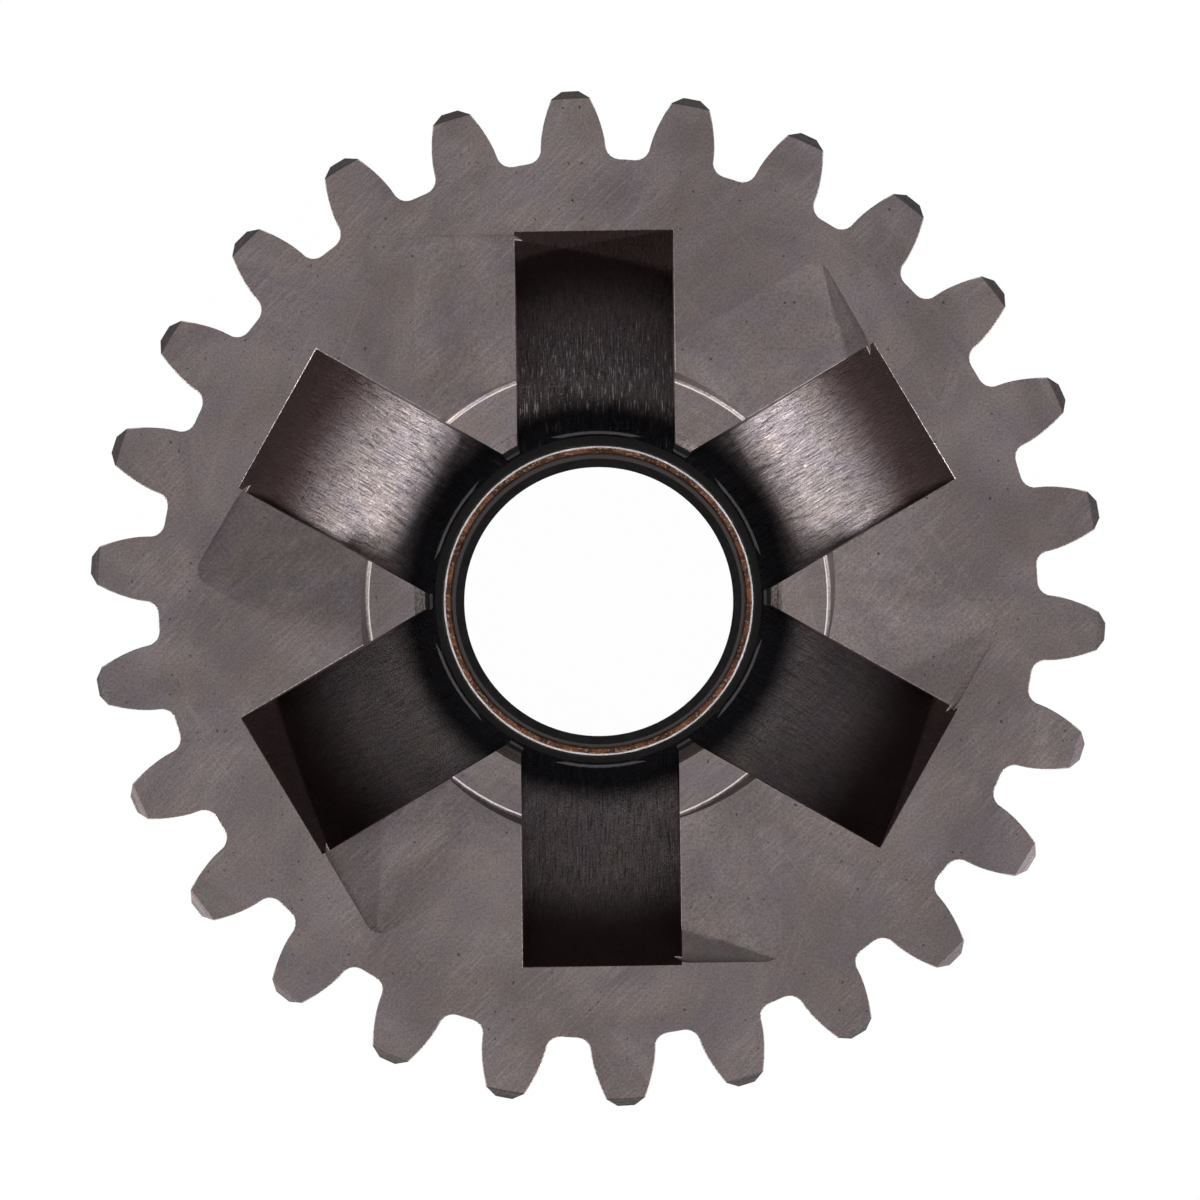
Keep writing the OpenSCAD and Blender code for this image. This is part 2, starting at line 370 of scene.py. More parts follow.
def draw_hairlines(tree, place, turned):
    hairlines = None
    for angle, spread, offset in HAIRLINE_SETS:
        slanted = remap(tree, place, Rotation=(0, 0, angle), Location=(offset, offset, 0))
        drawn_out = remap(tree, slanted, Scale=(spread / MM, HAIRLINE_LENGTH, 0))
        level = add_noise(tree, drawn_out, Scale=0.35, Detail=1.0)
        away = maths(tree, "ABSOLUTE", off_middle(tree, level))
        line = ramp(tree, away, 0.0, HAIRLINE_HALF, 1.0, 0.0)
        hairlines = line if hairlines is None else maths(tree, "MAXIMUM", hairlines, line)
    where = add_noise(tree, turned, Scale=0.16 / MM, Detail=1.0)
    return maths(tree, "MULTIPLY", hairlines, ramp(tree, where.outputs[0], *HAIRLINE_AREAS))


def draw_pits(tree, gap, share):
    place = map_place(tree)
    ragged = add_noise(tree, place, Scale=5.0, Detail=2.0)
    shifted = add_node(tree, "ShaderNodeVectorMath", operation="MULTIPLY_ADD")
    link(tree, ragged.outputs["Color"], shifted.inputs[0])
    shifted.inputs[1].default_value = PIT_RAGGED
    link(tree, place, shifted.inputs[2])
    cells = add_node(tree, "ShaderNodeTexVoronoi", voronoi_dimensions="2D", Randomness=1.0)
    link(tree, shifted.outputs[0], cells.inputs["Vector"])
    link(tree, maths(tree, "DIVIDE", 1.0, gap), cells.inputs["Scale"])
    chance = add_node(tree, "ShaderNodeSeparateColor")
    link(tree, cells.outputs["Color"], chance.inputs[0])
    chosen = maths(tree, "LESS_THAN", chance.outputs[0], share)
    rare = maths(tree, "POWER", chance.outputs[1], PIT_RARITY)
    size = maths(tree, "MULTIPLY_ADD", rare, PIT_GROWTH, PIT_LEAST)
    near = maths(tree, "SUBTRACT", size, cells.outputs["Distance"])
    depth = maths(tree, "MULTIPLY", chosen, ramp(tree, near, 0.0, PIT_EDGE))
    uneven = ramp(tree, chance.outputs[2], 0.0, 1.0, FAINTEST_PIT, 1.0)
    return maths(tree, "MULTIPLY", depth, uneven)


def make_handling():
    tree, given, result = new_group("handling", {"Turn": 0.8, "Pit Gap": 0.8, "Pit Share": 0.5},
                                    ("Scratches", "Hairlines", "Pits"))
    place = part_place(tree)
    turn = add_node(tree, "ShaderNodeVectorRotate", rotation_type="Z_AXIS")
    link(tree, place, turn.inputs["Vector"])
    link(tree, given["Turn"], turn.inputs["Angle"])
    link(tree, draw_scratches(tree, place, turn.outputs[0]), result["Scratches"])
    link(tree, draw_hairlines(tree, place, turn.outputs[0]), result["Hairlines"])
    link(tree, draw_pits(tree, given["Pit Gap"], given["Pit Share"]), result["Pits"])
    return tree


HANDLING = make_handling()
print("group", HANDLING.name)

# %% [markdown]
# The slots are painted black where they open into the bore, as painted shade. This group gives
# the share for it: full inside a reach round the gear's axis, so its edge is an arc round the axis,
# fading over a few millimetres. With a long reach, it also browns and darkens the outer end of the
# slots: a brown tint there, and painted shade.

# %% Radial fade group


def make_oil_film():
    tree, given, result = new_group("oil film", {"Reach": 19.2, "Fade": 2.9, "Ragged": 0.8},
                                    ("Inner",))
    place = part_place(tree)
    flat = add_node(tree, "ShaderNodeVectorMath", operation="MULTIPLY")
    link(tree, place, flat.inputs[0])
    flat.inputs[1].default_value = (1 / MM, 1 / MM, 0)
    radius = add_node(tree, "ShaderNodeVectorMath", operation="LENGTH")
    link(tree, flat.outputs[0], radius.inputs[0])
    ragged = add_noise(tree, place, Scale=0.5 / MM, Detail=3.0)
    sway = maths(tree, "MULTIPLY", off_middle(tree, ragged), given["Ragged"])
    edge = maths(tree, "ADD", given["Reach"], sway)
    inside = maths(tree, "SUBTRACT", edge, radius.outputs["Value"])
    share = maths(tree, "DIVIDE", inside, given["Fade"], clamp=True)
    link(tree, ramp(tree, share, 0.0, 1.0), result["Inner"])
    return tree


RADIAL_FADE = make_oil_film()
print("group", RADIAL_FADE.name)

# %% [markdown]
# The far slots get painted light and shade near the bore: fine light streaks, painted highlights,
# with dark streaks, painted shade, between them. The group reads the map of the slot's floor,
# squeezed hard across the marks, and keeps only the peaks of the noise. The slot that points
# straight at the far side gets the most, and its tallest streaks get painted glints. The first two
# values say where the painted streaks begin and where they are full, in millimetres from the axis
# towards the far side. The radial fade group is used again here, to keep the streaks near the
# bore.

# %% Painted streak group
STREAKS_FROM = -2.0
STREAKS_TO = 12.0
STREAKS_REACH = 29.0
STREAKS_FADE = 9.0
STREAKS_RAGGED = 4.0
BRIGHTEST_HALF = 8.0
BRIGHTEST_EDGE = 11.0
LIT_STREAK_LEVELS = (0.58, 0.68)
DARK_STREAK_LEVELS = (0.42, 0.32)
GLINT_LEVELS = (0.60, 0.70)
GLINT_REACH = 25.0
GLINT_FADE = 6.0
GLINT_RAGGED = 5.0


def make_torn_metal():
    tree, given, result = new_group("torn metal", {"Width": 0.085, "Length": 1.5},
                                    ("Lit Streaks", "Dark Streaks", "Glint"))
    parts = take_apart(tree, map_place(tree))
    across = maths(tree, "DIVIDE", parts[0], given["Width"])
    along = maths(tree, "DIVIDE", parts[1], given["Length"])
    peaks = add_noise(tree, join(tree, across, along), Scale=0.8, Detail=2.0, Roughness=0.5)
    sides = take_apart(tree, part_place(tree))
    far = ramp(tree, maths(tree, "DIVIDE", sides[1], MM), STREAKS_FROM, STREAKS_TO)
    near = place_group(tree, RADIAL_FADE, Reach=STREAKS_REACH, Fade=STREAKS_FADE, Ragged=STREAKS_RAGGED)
    share = maths(tree, "MULTIPLY", far, near.outputs["Inner"])
    for title, levels in (("Lit Streaks", LIT_STREAK_LEVELS), ("Dark Streaks", DARK_STREAK_LEVELS)):
        strength = ramp(tree, peaks.outputs[0], *levels)
        link(tree, maths(tree, "MULTIPLY", share, strength), result[title])
    off_centre = maths(tree, "ABSOLUTE", maths(tree, "DIVIDE", sides[0], MM))
    brightest = ramp(tree, off_centre, BRIGHTEST_EDGE, BRIGHTEST_HALF)
    nearest = place_group(tree, RADIAL_FADE, Reach=GLINT_REACH, Fade=GLINT_FADE, Ragged=GLINT_RAGGED)
    tops = ramp(tree, peaks.outputs[0], *GLINT_LEVELS)
    glint_peaks = maths(tree, "MULTIPLY", nearest.outputs["Inner"], tops)
    there = maths(tree, "MULTIPLY", brightest, far)
    link(tree, maths(tree, "MULTIPLY", glint_peaks, there), result["Glint"])
    return tree


PAINTED_STREAKS = make_torn_metal()
print("group", PAINTED_STREAKS.name)

# %% [markdown]
# Now the steels. They share one maker, because each is the same metal after another tool: what
# changes is the colour, the gloss, and how strong each effect is. Steel is a metal, so its
# colour is the colour of its reflections, and a matt face looks plain only because its
# reflections are spread wide.

# %% How steel is coloured
PAINTED_SHADE_BLACK = (0.010, 0.010, 0.014, 1)
BROWN_TINT_AND_SHADE = (0.072, 0.040, 0.039, 1)
BROWN_SHADE_REACH = 29.3
BROWN_SHADE_FADE = 5.9
PIT_DARK = (0.035, 0.03, 0.03, 1)
WARM_LEAN = (1.09, 1.04, 0.96)
COOL_LEAN = (0.95, 0.95, 1.10)
FURROW_DARK = -0.6
STREAK_LIGHT = 0.9
GLINT_LIGHT = 5.0
STREAK_DARK = -0.45


def around_one(tree, value, amount):
    return maths(tree, "MULTIPLY_ADD", value, amount, 1 - amount / 2)


def from_one(tree, value, amount):
    return maths(tree, "MULTIPLY_ADD", value, amount, 1.0)


def steel_light(tree, mottle, tool, handling, how):
    factors = [
        around_one(tree, mottle.outputs["Grain"], how["grain"]),
        around_one(tree, mottle.outputs["Cloud"], how["clouds"]),
        from_one(tree, tool.outputs["Deep"], FURROW_DARK * how["marks"]),
        from_one(tree, handling.outputs["Hairlines"], how["hairs"]),
        around_one(tree, tool.outputs["Marks"], how["marks"]),
        around_one(tree, handling.outputs["Scratches"], how["scratches"]),
    ]
    # Painted highlights and shade: light and dark streaks, and glints, on the far slots.
    if how["torn"]:
        streak_group = place_group(tree, PAINTED_STREAKS)
        lit_streaks = from_one(tree, streak_group.outputs["Lit Streaks"], STREAK_LIGHT * how["torn"])
        glint = maths(tree, "MULTIPLY_ADD", streak_group.outputs["Glint"], GLINT_LIGHT * how["torn"], lit_streaks)
        factors.append(glint)
        factors.append(from_one(tree, streak_group.outputs["Dark Streaks"], STREAK_DARK * how["torn"]))
    light = factors[0]
    for factor in factors[1:]:
        light = maths(tree, "MULTIPLY", light, factor)
    return light


def steel_tone(tree, colour, light, mottle, pit_share, how):
    tone = (*colour, 1)
    for patch, lean in (("Warm", WARM_LEAN), ("Cool", COOL_LEAN)):
        share = maths(tree, "MULTIPLY", mottle.outputs[patch], how["patches"])
        leaning = (*[c * part for c, part in zip(colour, lean)], 1)
        tone = blend_colours(tree, share, tone, leaning)
    bright = add_node(tree, "ShaderNodeCombineColor")
    for socket in bright.inputs[:3]:
        link(tree, light, socket)
    tone = blend_colours(tree, 1.0, tone, bright.outputs[0], "MULTIPLY")
    tone = blend_colours(tree, pit_share, tone, PIT_DARK)
    # Painted shade: the slots are coloured black where they open into the bore.
    if how["film"]:
        shade_fade = place_group(tree, RADIAL_FADE)
        shaded_share = maths(tree, "MULTIPLY", shade_fade.outputs["Inner"], how["film"])
        tone = blend_colours(tree, shaded_share, tone, PAINTED_SHADE_BLACK)
    # The outer end of the slots is coloured dark brown: partly a brown tint, partly painted shade.
    if how["burnt"]:
        outer_fade = place_group(tree, RADIAL_FADE, Reach=BROWN_SHADE_REACH, Fade=BROWN_SHADE_FADE)
        beyond = maths(tree, "SUBTRACT", 1.0, outer_fade.outputs["Inner"])
        browned_and_shaded = maths(tree, "MULTIPLY", beyond, how["burnt"])
        tone = blend_colours(tree, browned_and_shaded, tone, BROWN_TINT_AND_SHADE)
    return tone


print("warm patches lean by", WARM_LEAN, "and cool ones by", COOL_LEAN)

# %% [markdown]
# Gloss and relief follow the same marks. The fine grain makes the gloss uneven, a furrow is
# smoother than the steel beside it, and a pit is rough. The same marks raise and sink the surface
# by a few hundredths of a millimetre at most, which the bump turns into tilted reflections. In
# the usual steel, spacing, length, wander and relief are millimetres, and the rest are shares.

# %% How steel shines, and its maker
GRAIN_HAZE = 0.1
FURROW_GLOSS = -0.2
PIT_ROUGH = 0.2
USUAL_STEEL = {
    "patches": 0.5, "grain": 0.3, "clouds": 0.14,
    "marks": 0.3, "spacing": 0.2, "length": 6.0, "wander": 0.0, "brushed": 0.0, "relief": 0.01,
    "scratches": 0.2, "hairs": 0.0, "pits": 0.5,
    "film": 0.0, "burnt": 0.0, "torn": 0.0,
}


def raise_surface(tree, height, relief, shader):
    bump = add_node(tree, "ShaderNodeBump", Strength=1.0, Distance=relief * MM)
    link(tree, height, bump.inputs["Height"])
    link(tree, bump.outputs[0], shader.inputs["Normal"])


def new_material(name):
    material = bpy.data.materials.new(name)
    material.use_nodes = True
    tree = material.node_tree
    return material, tree, tree.nodes["Principled BSDF"]


def steel_roughness(tree, gloss, mottle, tool, pit_share, how):
    haze = maths(tree, "MULTIPLY_ADD", mottle.outputs["Grain"], GRAIN_HAZE, gloss - GRAIN_HAZE / 2)
    lined = maths(tree, "MULTIPLY_ADD", tool.outputs["Deep"], FURROW_GLOSS * how["marks"], haze)
    return maths(tree, "MULTIPLY_ADD", pit_share, PIT_ROUGH, lined, clamp=True)


def steel_height(tree, mottle, tool, pit_share, how):
    height = maths(tree, "MULTIPLY", tool.outputs["Marks"], how["marks"])
    height = maths(tree, "MULTIPLY_ADD", mottle.outputs["Grain"], how["grain"], height)
    height = maths(tree, "MULTIPLY_ADD", tool.outputs["Deep"], -how["marks"], height)
    return maths(tree, "SUBTRACT", height, pit_share)


def make_steel(name, colour, gloss, **changes):
    how = {**USUAL_STEEL, **changes}
    material, tree, shader = new_material(name)
    mottle = place_group(tree, MOTTLE)
    tool = place_group(tree, TOOL_MARKS, Spacing=how["spacing"], Length=how["length"],
                       Wander=how["wander"])
    handling = place_group(tree, HANDLING)
    pit_share = maths(tree, "MULTIPLY", handling.outputs["Pits"], how["pits"])
    light = steel_light(tree, mottle, tool, handling, how)
    tone = steel_tone(tree, colour, light, mottle, pit_share, how)
    link(tree, tone, shader.inputs["Base Color"])
    roughness = steel_roughness(tree, gloss, mottle, tool, pit_share, how)
    link(tree, roughness, shader.inputs["Roughness"])
    raise_surface(tree, steel_height(tree, mottle, tool, pit_share, how), how["relief"], shader)
    shader.inputs["Metallic"].default_value = 1.0
    shader.inputs["Anisotropic"].default_value = how["brushed"]
    if how["brushed"]:
        tangent = add_node(tree, "ShaderNodeTangent", direction_type="UV_MAP", uv_map=MAP_NAME)
        link(tree, tangent.outputs[0], shader.inputs["Tangent"])
    return material


print("a usual steel:", USUAL_STEEL)

# %% [markdown]
# Every finish on the gear is one row: its colour, its roughness, and what differs from the usual
# steel. The face and the ramps are matt, the slots bright and streaked, and the journal is the
# only surface that is ground to a gloss.

# %% The finishes of the gear
FACE_STEEL = (0.151, 0.128, 0.127)
STEELS = {
    "ground_face": make_steel("tumbled_face", FACE_STEEL, 0.62, patches=0.38, grain=0.46,
                              marks=0.0, scratches=0.24, pits=0.7, hairs=0.14, clouds=0.34),
    "ramp": make_steel("milled_ramp", (0.163, 0.138, 0.137), 0.62, patches=0.38, grain=0.46,
                       marks=0.03, spacing=0.35, scratches=0.24, pits=0.7, clouds=0.34),
    "recess": make_steel("turned_recess", (0.125, 0.1055, 0.1045), 0.5, grain=0.5, marks=0.15,
                         length=30.0, brushed=0.3, clouds=0.3),
    # The fillet at the foot of the recess wall is coloured light, a painted highlight line.
    "recess_foot_highlight": make_steel("foot_highlight", (0.45, 0.40, 0.39), 0.4, marks=0.2, length=30.0,
                              clouds=0.3),
    "mouth": make_steel("mouth_bevel", (0.31, 0.265, 0.258), 0.38, marks=0.3, length=30.0),
    "tip": make_steel("tip_bevel", (0.125, 0.108, 0.107), 0.5, marks=0.3, length=30.0),
    "ledge": make_steel("oiled_ledge", (0.06, 0.057, 0.06), 0.5, grain=0.6, marks=0.3, length=30.0),
    "turned": make_steel("turned_steel", (0.24, 0.2, 0.195), 0.5, marks=0.2, length=30.0,
                         brushed=0.4),
    # Slot floor: painted shade near the bore, a brown tint with painted shade at the outer end, and
    # painted streaks and glints on the far slots.
    "slot_floor": make_steel("slot_floor", (0.40, 0.348, 0.348), 0.52, patches=0.4, grain=0.4,
                             marks=0.5, spacing=0.11, length=2.6, wander=0.6, pits=0.3,
                             brushed=0.3, relief=0.06, film=0.96, burnt=0.92, torn=1.0),
    # Slot walls: painted shade near the bore.
    "slot_wall": make_steel("slot_wall", (0.2, 0.17, 0.165), 0.4, marks=0.3, spacing=0.25,
                            length=12.0, brushed=0.4, film=0.9),
    "bore": make_steel("bored_steel", (0.022, 0.020, 0.021), 0.5, marks=0.2, length=40.0),
    "flank": make_steel("tooth_flank", (0.26, 0.23, 0.22), 0.38, marks=0.35, spacing=0.3,
                        length=14.0, brushed=0.4, pits=0.2),
    "journal": make_steel("ground_journal", (0.52, 0.49, 0.47), 0.22, patches=0.3, grain=0.1,
                          marks=0.2, spacing=0.08, length=40.0, pits=0.15, scratches=0.1,
                          brushed=0.6, relief=0.003),
    "spline": make_steel("hobbed_splines", (0.28, 0.25, 0.24), 0.4, marks=0.3, length=20.0,
                         brushed=0.3),
    # The rounded rims are worn lighter, and the light colour is also a painted highlight line.
    "worn_edge_highlight": make_steel("worn_edge_highlight", (0.42, 0.37, 0.36), 0.4, patches=0.3, grain=0.5, marks=0.0,
                            scratches=0.0, pits=0.2),
}
print(len(STEELS), "steels")

# %% [markdown]
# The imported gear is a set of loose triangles. A copy of it is merged into one closed skin, and
# flat areas are joined again, so that soft shading can run round the curves and each surface
# can be given its own finish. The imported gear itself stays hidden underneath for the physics.

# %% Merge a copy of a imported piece
MERGE = 0.001 * MM
FLAT = math.radians(0.05)
SHARP = math.radians(22)


def is_closed(mesh):
    return all(edge.is_manifold for edge in mesh.edges)


def merged_copy(node):
    mesh = bmesh.new()
    mesh.from_mesh(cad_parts[node].data)
    bmesh.ops.remove_doubles(mesh, verts=mesh.verts, dist=MERGE)
    bmesh.ops.dissolve_limit(mesh, angle_limit=FLAT, use_dissolve_boundaries=False,
                             verts=mesh.verts, edges=mesh.edges, delimit=set())
    mesh.normal_update()
    print(node, "merged:", len(mesh.faces), "faces, closed:", is_closed(mesh))
    return mesh


gear_mesh = merged_copy("main_drive_gear")

# %% [markdown]
# Which tool made a surface can be read from where it lies and where it looks. This function
# names the finish of one face of the gear from its middle and its normal, working from the
# slots outwards, because a slot's floor and walls cross every other surface. The first four
# values are how near in millimetres a face's middle has to lie, with more room on a curve, whose
# flat facets cut inside the true arc. The next ones say how straight a face looks one way, from
# nought for sideways to one for straight on. A trace is anything more than a rounding error.

# %% Name the finish of each face
ON_PLANE = 0.05
ON_CURVE = 0.12
ON_CORNER = 0.1
ON_LEDGE = 0.25
LEVEL = 0.99
STRAIGHT = 0.98
TIP_FLATTEST = 0.95
RAMP_STEEPEST = 0.9
FOOT_STEEPEST = 0.5
MOUTH_STEEPEST = 0.3
UPRIGHT = 0.3
INWARDS = -0.2
TIP_STEEPEST = 0.1
SIDEWAYS = 0.05
RECESS_STEEPEST = 0.02
TRACE = 0.01
SLOT_DEEPEST = LEDGE_Z - 5
RAMP_DEEPEST = FACE_Z - 3
MOUTH_LOW = RECESS_Z - 1.2
BEVELS_FROM = ROOT_R + 3
TEETH_FROM = ROOT_R - 1
BORE_WITHIN = BORE_R + 2
SLEEVE_END = 0.4
LEDGE_FOOT = LEDGE_Z - 1
SPLINE_FROM = THREAD_Z + 2
SPLINE_TO = JOURNAL_Z + 2


def slot_frame(place):
    angle = math.atan2(place.y, place.x) - SLOT_TURN
    step = 2 * math.pi / SLOT_COUNT
    turn = SLOT_TURN + round(angle / step) * step
    out = Vector((math.cos(turn), math.sin(turn), 0))
    side = Vector((-math.sin(turn), math.cos(turn), 0))
    return out, side


def finish_of(place, normal):
    radius = math.hypot(place.x, place.y)
    out, side = slot_frame(place)
    u = place.dot(out)
    v = place.dot(side)
    from_cutter = math.hypot(u, CUTTER_Z - place.z)
    past_wall = abs(v) - SLOT_WIDTH / 2
    facing_wall = abs(normal.dot(side))
    if place.z > SLOT_DEEPEST and past_wall < ON_PLANE and radius < TEETH_FROM:
        swept = abs(from_cutter - CUTTER_R) < ON_CURVE and normal.dot(out) < INWARDS
        if swept and facing_wall < SIDEWAYS:
            return "slot_floor"
        if facing_wall > STRAIGHT and abs(past_wall) < ON_PLANE and radius > BORE_R:
            return "slot_wall"
    if place.z > FACE_Z - ON_PLANE and normal.z > LEVEL:
        return "ground_face"
    if place.z > RAMP_DEEPEST and RECESS_R - ON_CORNER < radius < ROOT_R:
        if RAMP_STEEPEST < normal.z < LEVEL:
            return "ramp"
    if place.z > RAMP_DEEPEST and radius > BEVELS_FROM and TIP_STEEPEST < normal.z < TIP_FLATTEST:
        return "tip"
    in_recess = MOUTH_R - ON_PLANE < radius < RECESS_R + ON_CORNER
    if in_recess and place.z > RECESS_Z - ON_CORNER and normal.z > RECESS_STEEPEST:
        if normal.z < FOOT_STEEPEST:
            return "turned"
        return "recess" if normal.z > LEVEL else "recess_foot_highlight"
    if abs(place.z - LEDGE_Z) < ON_LEDGE and radius < MOUTH_R:
        return "ledge"
    if radius < MOUTH_R and MOUTH_LOW < place.z < RECESS_Z:
        return "mouth" if normal.z > MOUTH_STEEPEST else "bore"
    if radius < BORE_WITHIN and abs(normal.x) + abs(normal.y) > TRACE and place.z > SLEEVE_END:
        inward = normal.x * place.x + normal.y * place.y < 0
        if inward or place.z > LEDGE_FOOT:
            return "bore"
    if place.z > RING_Z + TRACE and radius > TEETH_FROM and abs(normal.z) < UPRIGHT:
        return "flank"
    if abs(radius - JOURNAL_R) < ON_CORNER and JOURNAL_Z < place.z < THRUST_Z:
        return "journal"
    if SPLINE_FROM < place.z < SPLINE_TO and radius > CORE_R:
        return "spline"
    return "turned"


on_journal = Vector((JOURNAL_R, 0, (JOURNAL_Z + THRUST_Z) / 2))
print("half way up, the bearing seat is", finish_of(on_journal, Vector((1, 0, 0))))

# %% [markdown]
# No edge on a used gear is razor sharp. Where the face meets a slot or a tooth space, the corner
# has been stoned and knocked to a narrow round. The round is worn lighter, and its light colour
# also paints the thin highlight line along the rims. Bevel makes it on the rims alone. Edges too
# short to carry it are left.

# %% Round the rims
RIM_ROUND = 0.07
SHORTEST_RIM = 0.3
TOP_FINISHES = ("ground_face", "ramp")
CUT_FINISHES = ("slot_wall", "slot_floor", "flank")
RIM_STEPS = 2


def is_rim(edge):
    if len(edge.link_faces) != 2 or edge.calc_face_angle(0) < SHARP or not edge.is_convex:
        return False
    if edge.calc_length() < SHORTEST_RIM * MM:
        return False
    kinds = [finish_of(f.calc_center_median() / MM, f.normal) for f in edge.link_faces]
    return any(k in TOP_FINISHES for k in kinds) and any(k in CUT_FINISHES for k in kinds)


def break_edges(mesh):
    rims = [edge for edge in mesh.edges if is_rim(edge)]
    made = bmesh.ops.bevel(mesh, geom=rims, offset=RIM_ROUND * MM, offset_type="OFFSET",
                           segments=RIM_STEPS, profile=0.5, affect="EDGES", material=-1,
                           clamp_overlap=False)
    mesh.normal_update()
    print(len(rims), "rims rounded, closed:", is_closed(mesh))
    return set(made["faces"])


worn_highlight = break_edges(gear_mesh)

# %% [markdown]
# The map of a surface runs in millimetres, first across the tool's marks and then along them.
# A flat face is mapped from above, a turned surface by its distance along the profile and by the
# arc round the axis, and a slot's floor by its width and by the arc that the cutter swept.

# %% Map the surfaces
MOSTLY_LEVEL = 0.7


def place_on_map(finish, place, normal, middle):
    x, y, z = place
    radius = math.hypot(x, y)
    if finish == "slot_floor":
        out, side = slot_frame(middle)
        arc = math.atan2(place.dot(out), CUTTER_Z - z) * CUTTER_R
        return place.dot(side), arc
    if finish == "slot_wall":
        out, side = slot_frame(middle)
        return z, place.dot(out)
    if finish in ("ground_face", "ramp"):
        return x, y
    if finish == "flank":
        return radius, z
    angle = math.atan2(y, x)
    centre = math.atan2(middle.y, middle.x)
    angle = centre + (angle - centre + math.pi) % (2 * math.pi) - math.pi
    middle_radius = math.hypot(middle.x, middle.y)
    across = radius if abs(normal.z) > MOSTLY_LEVEL else z
    return across, angle * middle_radius


def map_face(face, layer, finish):
    middle = face.calc_center_median() / MM
    for loop in face.loops:
        loop[layer].uv = place_on_map(finish, loop.vert.co / MM, face.normal, middle)


def map_all(mesh, finish):
    layer = mesh.loops.layers.uv.new(MAP_NAME)
    for face in mesh.faces:
        map_face(face, layer, finish)


def dress(mesh, names, edges):
    layer = mesh.loops.layers.uv.new(MAP_NAME)
    count = {}
    for face in mesh.faces:
        middle = face.calc_center_median() / MM
        finish = "worn_edge_highlight" if face in edges else finish_of(middle, face.normal)
        count[finish] = count.get(finish, 0) + 1
        face.material_index = names.index(finish)
        map_face(face, layer, finish)
    return count


finish_names = list(STEELS)
print("faces of each finish:", dress(gear_mesh, finish_names, worn_highlight))

# %% [markdown]
# A dressed skin becomes a piece in three steps. Edges flatter than a set angle are shaded soft
# and the rest sharp, the skin turns into an object with its materials, and the piece is tied to
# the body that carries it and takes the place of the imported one. Its normals follow the large
# faces, so that what is flat also looks flat up to its edges.

# %% Turn the skin into a piece
LARGEST_FACES = 100


def soften(mesh):
    for face in mesh.faces:
        face.smooth = True
    for edge in mesh.edges:
        edge.smooth = edge.calc_face_angle(0) < SHARP


def finish_piece(mesh, name, materials, node):
    data = bpy.data.meshes.new(name)
    mesh.to_mesh(data)
    mesh.free()
    for material in materials:
        data.materials.append(material)
    piece = put_in_scene(name, data)
    weighted = piece.modifiers.new("weighted normals", "WEIGHTED_NORMAL")
    weighted.keep_sharp = True
    weighted.weight = LARGEST_FACES
    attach(piece, "root")
    if node:
        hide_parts(node)
    return piece


soften(gear_mesh)
gear = finish_piece(gear_mesh, "gear_body", [STEELS[n] for n in finish_names], "main_drive_gear")
print(gear.name, "has", len(gear.data.polygons), "faces")

# %% [markdown]
# The bush is a steel shell lined with bronze, bored and pressed in. End on, its shell is a thin
# ring coloured near white, a painted highlight, and the lining a rusty brown one with a painted
# highlight on the lip at the bore, so one material tells them apart by the radius.
# The seal is moulded rubber, so it is no metal: black, matt, and with only a faint sheen.

# %% Bronze and rubber
BACK_R = 14.28
LIP_R = 13.76
RUST_LIGHT = (0.21, 0.085, 0.045, 1)
RUST_DARK = (0.06, 0.025, 0.017, 1)
BRONZE_SPECK = (0.62, 0.42, 0.32, 1)
LIP_HIGHLIGHT = (0.90, 0.76, 0.72, 1)
BRONZE_SMEAR = (0.12, 0.06, 0.04, 1)
BACK_HIGHLIGHT_DULL = (0.62, 0.60, 0.61, 1)
BACK_HIGHLIGHT = (0.95, 0.92, 0.93, 1)
RUBBER_DARK = (0.06, 0.059, 0.064, 1)
RUBBER_LIGHT = (0.08, 0.076, 0.078, 1)
RING_RELIEF = 0.01
RING_HAZE = 0.2
SPECK_LEVELS = (0.7, 0.95)
SPECK_SHARE = 0.8
SMEAR_SHARE = 0.3
BRONZE_ROUGH = 0.3
RUBBER_ROUGH = 0.6
RUBBER_SHEEN = 0.3


def make_bronze():
    material, tree, shader = new_material("backed_bronze")
    mottle = place_group(tree, MOTTLE, Patch_Size=1.2, Grain_Size=0.3)
    tool = place_group(tree, TOOL_MARKS, Spacing=0.15, Length=20.0)
    lining = blend_colours(tree, mottle.outputs["Warm"], RUST_LIGHT, RUST_DARK)
    grains = ramp(tree, mottle.outputs["Grain"], *SPECK_LEVELS)
    speck = maths(tree, "MULTIPLY", grains, SPECK_SHARE)
    lining = blend_colours(tree, speck, lining, BRONZE_SPECK)
    # Painted highlight: a near-white line on the lip of the bore.
    lip_highlight = place_group(tree, RADIAL_FADE, Reach=LIP_R, Fade=0.06, Ragged=0.1)
    lining = blend_colours(tree, lip_highlight.outputs["Inner"], lining, LIP_HIGHLIGHT)
    smear = maths(tree, "MULTIPLY", tool.outputs["Marks"], SMEAR_SHARE)
    lining = blend_colours(tree, smear, lining, BRONZE_SMEAR)
    # Painted highlight: the end of the steel shell is coloured near white.
    shell_highlight = blend_colours(tree, mottle.outputs["Grain"], BACK_HIGHLIGHT_DULL, BACK_HIGHLIGHT)
    inside = place_group(tree, RADIAL_FADE, Reach=BACK_R, Fade=0.08, Ragged=0.16)
    tone = blend_colours(tree, inside.outputs["Inner"], shell_highlight, lining)
    link(tree, tone, shader.inputs["Base Color"])
    haze = maths(tree, "MULTIPLY_ADD", mottle.outputs["Grain"], RING_HAZE, BRONZE_ROUGH)
    link(tree, haze, shader.inputs["Roughness"])
    height = maths(tree, "ADD", tool.outputs["Marks"], mottle.outputs["Grain"])
    raise_surface(tree, height, RING_RELIEF, shader)
    shader.inputs["Metallic"].default_value = 1.0
    return material


